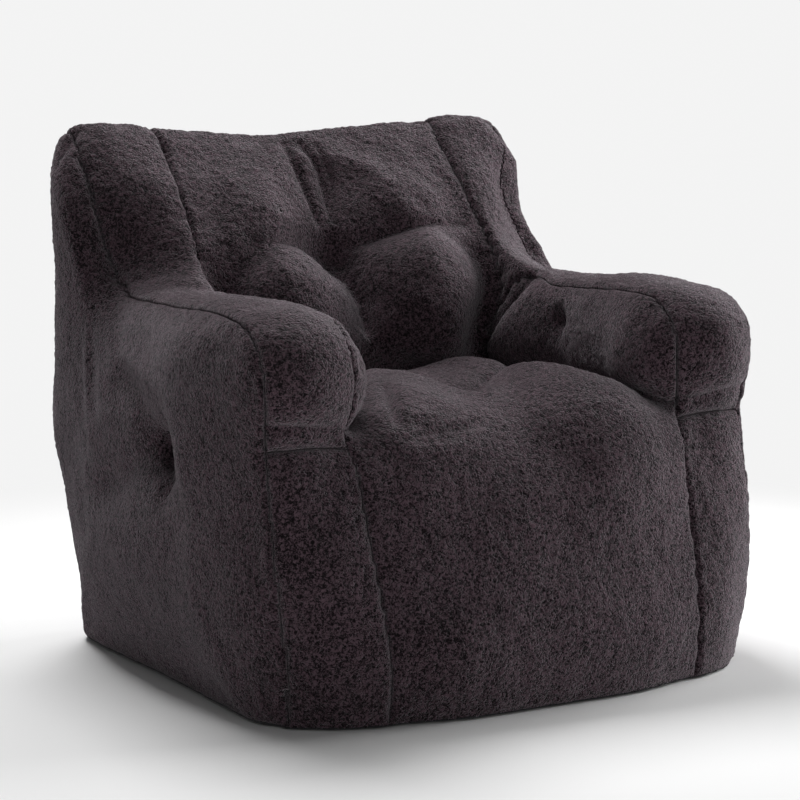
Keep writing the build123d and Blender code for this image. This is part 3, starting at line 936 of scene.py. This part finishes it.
class SewCover(bpy.types.Operator):
    """Wraps, sews, stuffs and finishes the fleece cover, panel by panel"""

    bl_idname = "bean_bag.sew_cover"
    bl_label = "Sew cover"

    def execute(self, context):
        sizes = context.scene.cover_sizes
        skin = wrapped_skin(sizes.cell)
        mesh = skin.data
        edges = edges_of(mesh)
        quads = quads_of(mesh)
        numbers = without_strays(sort_into_panels(skin), quads)
        points = points_of(mesh)
        on_seam, low, high = seam_points(quads, numbers, len(points))
        points = true_seams(points, on_seam)
        for _ in range(EVENING_ROUNDS):
            points = true_seams(smoothed(points, edges, rounds=3, share=0.5), on_seam)
        set_points(mesh, points)
        normals = calm_normals(mesh, rounds=6)
        base = (low == PANEL_NUMBER["base_panel"]) | (high == PANEL_NUMBER["base_panel"])
        upper = ~base[:, None]
        shape = shaped(points, normals)
        points = smoothed(settled(np.where(upper, shape, points)), edges, rounds=2, share=0.4)
        set_points(mesh, points)
        points = points - calm_normals(mesh, rounds=3) * (SLACK * upper)
        set_points(mesh, points)
        near = seam_distance(points, on_seam)
        freedom = SEAM_SWELL + (1 - SEAM_SWELL) * (near / SEAM_HOLD).clip(0, 1)
        limit = sizes.swell_limit * freedom
        points = stuffed(skin, on_seam | base, sizes.pressure, limit)
        set_points(mesh, smoothed(points, edges, rounds=2, share=0.35, held=base))
        mesh.attributes.new("panel", "INT", "FACE").data.foreach_set("value", numbers.astype(np.int32))
        apply_modifier(skin, "SUBSURF", levels=1, render_levels=1)
        self.finish_cover(context, skin)
        return {"FINISHED"}

    def finish_cover(self, context, skin):
        sizes = context.scene.cover_sizes
        mesh = skin.data
        quads = quads_of(mesh)
        numbers = np.empty(len(quads), np.int32)
        mesh.attributes["panel"].data.foreach_get("value", numbers)
        points = points_of(mesh)
        normals = calm_normals(mesh, rounds=4)
        on_seam, _, _ = seam_points(quads, numbers, len(points))
        away = seam_distance(points, on_seam)
        hidden = sum(nearness(points, middle, reach) for middle, reach in BURIED_SEAMS).clip(0, 1)
        groove = np.exp(-((away / GROOVE_WIDTH) ** 2)) * sizes.seam_depth * (1 - GROOVE_HIDDEN * hidden)
        pucker = slow_waves(points, PUCKER_SCALE) * np.exp(-away / PUCKER_REACH) * PUCKER_HEIGHT
        drift = waves(points, SLOW_DRIFT, QUICK_DRIFT)
        pile = pile_height(points) * sizes.pile
        above = (points[:, 2] / PILE_FADE).clip(0, 1)
        height = (pile + pucker + drift - groove - creased(points, normals)) * above
        points = points + normals * height[:, None]
        points[:, 2] = points[:, 2].clip(0.0, None)
        set_points(mesh, points)
        middle = points[quads].mean(axis=1)
        zip_gap = (
            (middle[:, 1] > CREST_SEAM) & (np.abs(middle[:, 0]) < INNER_SEAM)
            & (middle[:, 2] > ZIP_FOOT) & (middle[:, 2] < ZIP_TOP)
        )
        fleece = fleece_material()
        shade = context.scene.chair_colours.base_cloth
        base_cloth = woven_material("base_cloth", shade, threads=420.0, roughness=0.85)
        for name, number in PANEL_NUMBER.items():
            chosen = quads[(numbers == number) & ~zip_gap]
            cloth = base_cloth if name == "base_panel" else fleece
            piece = cut_panel(f"{name}_cloth", points, normals, chosen, sizes.hem, cloth)
            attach(piece, "chair")
            "base_cloth" if name == "base_panel" else "sherpa_fleece"
            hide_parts(name)


def held_under(points, skin, depth):
    """Points kept at least a depth below the cover's skin."""
    tree = tree_of(skin.data)
    kept = points.copy()
    for index, point in enumerate(points):
        place, normal, _, _ = tree.find_nearest(Vector(point))
        if (Vector(point) - place).dot(normal) > -depth:
            kept[index] = place - normal * depth
    return kept


def cover_with(piece, finish):
    """Gives a piece one material in place of any that it has."""
    piece.data.materials.clear()
    piece.data.materials.append(finish)


def merged_copy(name, new_name):
    """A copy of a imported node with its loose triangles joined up."""
    piece = copy_of(name)
    piece.name = new_name
    select_only(piece)
    bpy.ops.object.mode_set(mode="EDIT")
    bpy.ops.mesh.select_all(action="SELECT")
    bpy.ops.mesh.remove_doubles(threshold=0.00001)
    bpy.ops.object.mode_set(mode="OBJECT")
    return piece


def sewn_skin():
    """The cover's whole skin, which the later steps fit under."""
    skin = bpy.data.objects.get("cover_skin")
    if skin is None:
        raise RuntimeError("the cover has to be sewn first")
    return skin


# Shredded foam: its cells, its lumps' scales and heights, and how far it keeps from cover and floor.
FOAM_CELL = 0.012
BIG_CRUMBS = (26, 0.004)
SMALL_CRUMBS = (60, 0.0025)
FOAM_SHRINK = 0.004
FOAM_CLEARANCE = 0.028
FOAM_FLOOR = 0.012
# Hollow in the foam behind the zip: half height, depth, and where it begins and is full.
HOLLOW_HEIGHT = 0.05
HOLLOW_DEPTH = 0.06
HOLLOW_RUN = (0.25, 0.38)


class StuffCover(bpy.types.Operator):
    """Fills the cover's four chambers with lumpy shredded foam"""

    bl_idname = "bean_bag.stuff_cover"
    bl_label = "Stuff cover"

    def execute(self, context):
        skin = sewn_skin()
        foam = foam_material()
        for name in FILLINGS:
            piece = merged_copy(name, f"{name}_foam")
            apply_modifier(piece, "REMESH", mode="VOXEL", voxel_size=FOAM_CELL, adaptivity=0.0)
            mesh = piece.data
            points = smoothed(settled(points_of(mesh)), edges_of(mesh), rounds=3, share=0.5)
            set_points(mesh, points)
            lumps = waves(points, BIG_CRUMBS, SMALL_CRUMBS) - FOAM_SHRINK
            points = held_under(points + normals_of(mesh) * lumps[:, None], skin, FOAM_CLEARANCE)
            behind_zip = np.exp(-(((points[:, 2] - ZIP_MIDDLE) / HOLLOW_HEIGHT) ** 2))
            points[:, 1] -= HOLLOW_DEPTH * behind_zip * eased(points[:, 1], *HOLLOW_RUN)
            points[:, 2] = points[:, 2].clip(FOAM_FLOOR, None)
            set_points(mesh, points)
            cover_with(piece, foam)
            select_only(piece)
            bpy.ops.object.shade_smooth()
            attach(piece, "chair")
            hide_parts(name)
        return {"FINISHED"}


# Lining cloths and the axis that each lies across: longest edge and the rounds to reach it, the ripple's
# scale and height, and how far they keep from cover and floor.
LININGS = (("left_divider", 0), ("right_divider", 0), ("seat_back_divider", 1))
LINING_EDGE = 0.03
LINING_ROUNDS = 7
RIPPLE_SCALE = 14
RIPPLE_HEIGHT = 0.0018
LINING_CLEARANCE = 0.012
LINING_FLOOR = 0.0085


class HangLinings(bpy.types.Operator):
    """Hangs the cloths that part the chambers"""

    bl_idname = "bean_bag.hang_linings"
    bl_label = "Hang linings"

    def execute(self, context):
        skin = sewn_skin()
        shade = context.scene.chair_colours.lining
        lining = woven_material("divider_cloth", shade, threads=380.0, roughness=0.9)
        for name, across in LININGS:
            piece = merged_copy(name, f"{name}_lining")
            mesh = bmesh.new()
            mesh.from_mesh(piece.data)
            for _ in range(LINING_ROUNDS):
                long = [edge for edge in mesh.edges if edge.calc_length() > LINING_EDGE]
                if not long:
                    break
                bmesh.ops.subdivide_edges(mesh, edges=long, cuts=1)
                bmesh.ops.triangulate(mesh, faces=mesh.faces[:])
            mesh.to_mesh(piece.data)
            mesh.free()
            points = points_of(piece.data)
            flat = points * np.where(np.arange(3) == across, 0, 1)
            points[:, across] += slow_waves(flat, RIPPLE_SCALE) * RIPPLE_HEIGHT
            points = held_under(settled(points), skin, LINING_CLEARANCE)
            points[:, 2] = points[:, 2].clip(LINING_FLOOR, None)
            set_points(piece.data, points)
            cover_with(piece, lining)
            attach(piece, "chair")
            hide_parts(name)
        bpy.data.objects.remove(skin)
        return {"FINISHED"}


# Colours of the small fittings that don't show in use.
DARK_METAL = (0.03, 0.03, 0.032)
TWINE = (0.3, 0.28, 0.25)


class FinishFittings(bpy.types.Operator):
    """Gives the zip and the tuft ties their materials"""

    bl_idname = "bean_bag.finish_fittings"
    bl_label = "Finish fittings"

    def execute(self, context):
        shades = context.scene.chair_colours
        tape = woven_material("zip_tape", shades.zip_black, threads=900.0, roughness=0.8)
        plastic = satin_material("zip_plastic", shades.zip_black, metal=0.0, roughness=0.45)
        metal = satin_material("zip_metal", DARK_METAL, metal=1.0, roughness=0.38)
        twine = woven_material("tie_twine", TWINE, threads=700.0, roughness=0.85)
        finishes = {
            "zip_tape": tape, "zip_teeth": plastic, "zip_start": plastic, "zip_end": plastic,
            "zip_slider": metal, "zip_pull": metal,
        }
        for name, node in frame["nodes"].items():
            for start, finish in finishes.items():
                if name.startswith(start):
                    cover_with(node, finish)
            if name.endswith("_tie"):
                cover_with(node, twine)
        return {"FINISHED"}


def seen_directly(tree):
    """1 for what the camera, a gloss or glass shows, 0 for what only lights the chair."""
    camera, gloss, glass = (
        add_node(tree, "LightPath", {}, {}, out=f"Is {ray} Ray")
        for ray in ("Camera", "Glossy", "Transmission")
    )
    return camera + gloss + glass


# Lamps: name, place, what they face, size and power.
LAMPS = (
    ("right", (3.6, -0.1, 1.1), (0, 0, 0.4), 2.4, 200),
    ("front", (-1.2, -4.2, 1.6), (0, 0, 0.4), 2.4, 20),
    ("top", (0.2, 2.6, 4.5), (0, 0, 0.4), 2.6, 280),
)
# Light from all round, and what the backdrop and the far floor show of white.
AMBIENT = 0.05
BACKDROP = 0.85
FLOOR_GLOW = 0.9
FLOOR_FADE_OUT = (0.6, 1.8)
FLOOR_SIZE = 30
FLOOR_DROP = 0.0005
# Camera of the photograph: place, downward tilt and turn in degrees, and focal length in pixels.
CAMERA_PLACE = (-2.141, -3.537, 1.001)
CAMERA_TILT = 8.01
CAMERA_TURN = -30.91
SENSOR_WIDTH = 36
FOCAL_PIXELS = 2523
PICTURE_PIXELS = 800


class SetStage(bpy.types.Operator):
    """Adds the floor, the lamps and the camera"""

    bl_idname = "bean_bag.set_stage"
    bl_label = "Set stage"

    def floor_material(self, shade):
        """Pale floor that keeps the shadow near the chair and runs out into the backdrop."""
        finish = Finish("studio_floor", Roughness=0.9)
        finish.set("Base Color", colour(shade))
        tree = finish.tree
        place = finish.place()
        x, y = (finish.node("SeparateXYZ", out=axis, Vector=place) for axis in "XY")
        far = finish.ramp((x**2.0 + y**2.0) ** 0.5, *FLOOR_FADE_OUT)
        paint = Wire(tree, finish.shader.outputs[0])
        glow = finish.node("Emission", Color=(1, 1, 1, 1), Strength=FLOOR_GLOW)
        mixed = add_node(tree, "MixShader", {}, {0: far * seen_directly(tree), 1: paint, 2: glow})
        plug(tree, tree.nodes["Material Output"].inputs["Surface"], mixed)
        return finish.material

    def execute(self, context):
        scene = context.scene
        scene.view_settings.view_transform = "Standard"
        bpy.ops.object.select_all(action="DESELECT")
        bpy.ops.mesh.primitive_plane_add(size=FLOOR_SIZE, location=(0, 0, -FLOOR_DROP))
        floor = context.active_object
        floor.name = "studio_floor"
        floor.data.materials.append(self.floor_material(scene.chair_colours.floor))
        for name, place, aim, size, power in LAMPS:
            bpy.ops.object.light_add(type="AREA", location=place)
            lamp = context.active_object
            lamp.name = f"{name}_lamp"
            lamp.data.size = size
            lamp.data.energy = power
            lamp.rotation_euler = (Vector(aim) - Vector(place)).to_track_quat("-Z", "Y").to_euler()
        world = bpy.data.worlds.new("studio_world")
        world.use_nodes = True
        scene.world = world
        tree = world.node_tree
        backdrop = tree.nodes["Background"]
        backdrop.inputs["Color"].default_value = (1, 1, 1, 1)
        plug(tree, backdrop.inputs["Strength"], AMBIENT + seen_directly(tree) * BACKDROP)
        bpy.ops.object.camera_add(location=CAMERA_PLACE)
        camera = context.active_object
        camera.name = "photo_camera"
        camera.rotation_euler = (math.radians(90 - CAMERA_TILT), 0, math.radians(CAMERA_TURN))
        camera.data.sensor_width = SENSOR_WIDTH
        camera.data.lens = SENSOR_WIDTH * FOCAL_PIXELS / PICTURE_PIXELS
        scene.camera = camera
        return {"FINISHED"}


class ChairPanel(bpy.types.Panel):
    """Lists the steps that dress the chair"""

    bl_idname = "VIEW3D_PT_bean_bag"
    bl_label = "Bean bag armchair"
    bl_space_type = "VIEW_3D"
    bl_region_type = "UI"
    bl_category = "Bean bag"

    def draw(self, context):
        for step in STEPS:
            self.layout.operator(step.bl_idname)


STEPS = (SewCover, StuffCover, HangLinings, FinishFittings, SetStage)
CLASSES = (CoverSizes, ChairColours, *STEPS, ChairPanel)


def register():
    for each in CLASSES:
        bpy.utils.register_class(each)
    bpy.types.Scene.cover_sizes = bpy.props.PointerProperty(type=CoverSizes)
    bpy.types.Scene.chair_colours = bpy.props.PointerProperty(type=ChairColours)


def unregister():
    del bpy.types.Scene.chair_colours
    del bpy.types.Scene.cover_sizes
    for each in reversed(CLASSES):
        bpy.utils.unregister_class(each)


def main():
    register()
    bpy.ops.bean_bag.sew_cover()
    bpy.ops.bean_bag.stuff_cover()
    bpy.ops.bean_bag.hang_linings()
    bpy.ops.bean_bag.finish_fittings()
    bpy.ops.bean_bag.set_stage()


if __name__ == "__main__":
    main()
